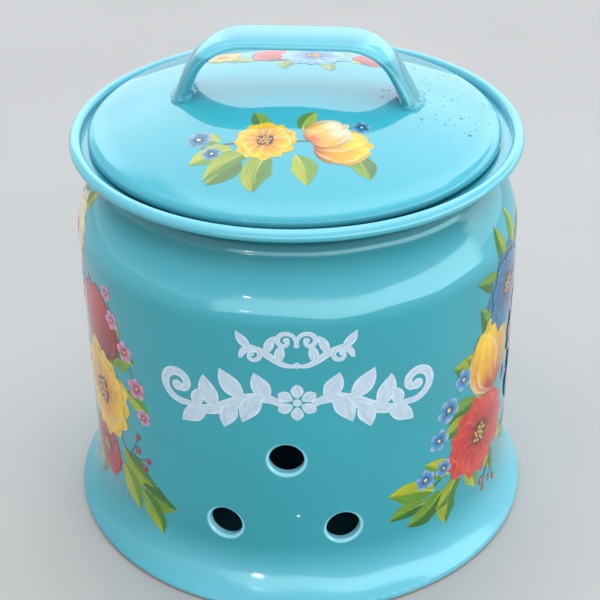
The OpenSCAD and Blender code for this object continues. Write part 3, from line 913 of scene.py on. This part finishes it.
def make_floor():
    """A broad matt floor, pale and nearly even."""
    mesh = bpy.data.meshes.new("floor")
    grid = bmesh.new()
    bmesh.ops.create_grid(grid, x_segments=4, y_segments=4, size=6)
    grid.to_mesh(mesh)
    grid.free()
    m, n, shader, place = new_material("floor")
    tone = n.spread(n.noise(place, 3, 3), 0.3, 0.7)
    n.link(n.mix(tone, lin(186, 185, 183), lin(191, 190, 188)), shader.inputs["Base Color"])
    shader.inputs["Roughness"].default_value = 0.9
    shader.inputs["Specular IOR Level"].default_value = 0.0
    mesh.materials.append(m)
    floor = new_object("floor", mesh)


def make_world():
    """Soft studio surround: bright behind, a low bright strip in front and light from above.

    Two dark gaps stand beside the bright part behind. The camera itself sees a plain backdrop.
    """
    full = 4.0
    world = bpy.data.worlds.new("studio")
    bpy.context.scene.world = world
    world.use_nodes = True
    n = Nodes(world.node_tree)
    x, y, z = n.axes(n.add("ShaderNodeTexCoord").outputs["Generated"])

    def rise(*stops):
        """Brightness by height, from pairs of the angle above the horizon and a strength up to full."""
        ramp = n.add("ShaderNodeValToRGB")
        ramp.color_ramp.interpolation = "EASE"
        n.link(z, ramp.inputs["Fac"])
        marks = ramp.color_ramp.elements
        while len(marks) < len(stops):
            marks.new(0.5)
        for mark, (angle, strength) in zip(marks, stops):
            tone = strength / full
            mark.position = math.sin(math.radians(angle))
            mark.color = (tone * 0.965, tone, tone * 1.05, 1)
        return ramp.outputs["Color"]

    def facing(turn, low, high):
        """1 towards a direction, in degrees from +Y towards +X, and 0 away from it."""
        a = math.radians(turn)
        dot = n.math("ADD", n.times(x, math.sin(a)), n.times(y, math.cos(a)))
        flat = n.math("SQRT", n.math("MAXIMUM", n.math("SUBTRACT", 1.0, n.times(z, z)), 1e-4))
        return n.spread(n.math("DIVIDE", dot, flat), low, high)

    sides = rise((0, 1.1), (8, 0.8), (20, 0.5), (44, 0.5), (56, 1.2), (70, 2.2), (80, 2.7))
    back = rise((0, 1.5), (11, 1.8), (22, 2.4), (42, 2.4), (62, 2.2), (80, 2.6))
    front = rise((0, 2.8), (9, 2.6), (14, 0.9), (20, 0.6), (32, 0.35), (45, 0.45), (58, 0.8),
                 (70, 1.9), (80, 2.7))
    for turn, top in ((-125.5, 0.92), (119, 0.70)):
        gap = n.times(n.band(z, (0.32, 0.42), (top - 0.04, top + 0.04)), facing(turn, -0.01, 0.05))
        back = n.mix(gap, back, (0.06, 0.06, 0.07))
    light = n.mix(facing(16, 0.50, 0.62), sides, back)
    light = n.mix(facing(150, 0.47, 0.66), light, front)
    background = n.tree.nodes["Background"]
    seen = n.add("ShaderNodeLightPath").outputs["Is Camera Ray"]
    n.link(n.mix(seen, light, lin(226, 230, 233) / full), background.inputs["Color"])
    background.inputs["Strength"].default_value = full


def make_screen():
    """A low curved softbox in front of the bin, which only its gloss sees.

    Its upper edge is soft and uneven. The tables run from left to right, in degrees from -Y towards +X.
    """
    away, highest = 0.86, 0.42
    turns, heights = np.radians(np.linspace(-40, 108, 149)), np.linspace(0.001, highest, 43)
    turn, up = np.meshgrid(turns, heights, indexing="ij")
    degrees = np.degrees(turn)
    top = np.interp(degrees, (-36, -28, -14, 2, 12, 24, 45, 75, 105),
                    (0.17, 0.22, 0.25, 0.20, 0.23, 0.28, 0.31, 0.34, 0.38))
    top = top + 0.035 * (noise(degrees / 9, degrees * 0 + 4, 2) - 0.5)
    soft = np.interp(degrees, (-30, 0, 15, 30), (0.05, 0.10, 0.06, 0.03))
    mask = 1 - smooth(up, top - soft, top + soft)
    mask = mask * smooth(degrees, -38, -33 + 6 * noise(up * 20, up * 0, 6)) * (1 - smooth(degrees, 96, 106))
    power = np.interp(degrees, (-36, -10, 10, 30, 55, 80, 105), (3.1, 3.6, 3.9, 4.4, 4.4, 4.2, 3.4))
    points = np.stack([away * np.sin(turn), -away * np.cos(turn), up], -1).reshape(-1, 3)
    mesh = bpy.data.meshes.new("softbox")
    mesh.from_pydata(points.tolist(), [], grid_faces(*turn.shape)[:, ::-1].tolist())
    glow = mesh.color_attributes.new(name="glow", type="FLOAT_COLOR", domain="POINT")
    rgba = np.stack([power * 0.74, power, power * 1.06, mask], -1)
    glow.data.foreach_set("color", rgba.ravel())
    m = bpy.data.materials.new("softbox")
    m.use_nodes = True
    n = Nodes(m.node_tree)
    shade = n.add("ShaderNodeAttribute", attribute_name="glow")
    light, clear = n.add("ShaderNodeEmission"), n.add("ShaderNodeBsdfTransparent")
    both = n.add("ShaderNodeMixShader")
    n.link(shade.outputs["Color"], light.inputs["Color"])
    n.link(shade.outputs["Alpha"], both.inputs[0])
    n.link(clear.outputs[0], both.inputs[1])
    n.link(light.outputs[0], both.inputs[2])
    n.link(both.outputs[0], m.node_tree.nodes["Material Output"].inputs["Surface"])
    m.cycles.emission_sampling = "NONE"
    mesh.materials.append(m)
    screen = new_object("softbox", mesh)
    screen.visible_camera = screen.visible_diffuse = screen.visible_shadow = False


def make_lamp(name, turn, away, height, wide, tall, strength, glint=True):
    """An upright soft panel that faces the bin, seen by the gloss alone or by all but the gloss.

    turn is in degrees from -Y towards +X.
    """
    a = math.radians(turn)
    data = bpy.data.lights.new(name, "AREA")
    data.shape, data.size, data.size_y = "RECTANGLE", wide, tall
    data.energy = strength * math.pi * wide * tall
    lamp = new_object(name, data)
    lamp.location = (away * math.sin(a), -away * math.cos(a), height)
    lamp.rotation_euler = (math.pi / 2, 0, a)
    lamp.visible_camera = False
    lamp.visible_diffuse, lamp.visible_glossy = not glint, glint


make_camera()
make_floor()
make_world()
make_screen()
make_lamp("glint_high", -20, 1.7, 0.47, 0.10, 0.03, 26)
make_lamp("glint_low", -20, 1.05, 0.018, 0.065, 0.02, 110)
make_lamp("soft_right", 50, 1.7, 0.9, 0.9, 0.9, 2.2, glint=False)
bpy.context.scene.view_settings.view_transform = "Standard"
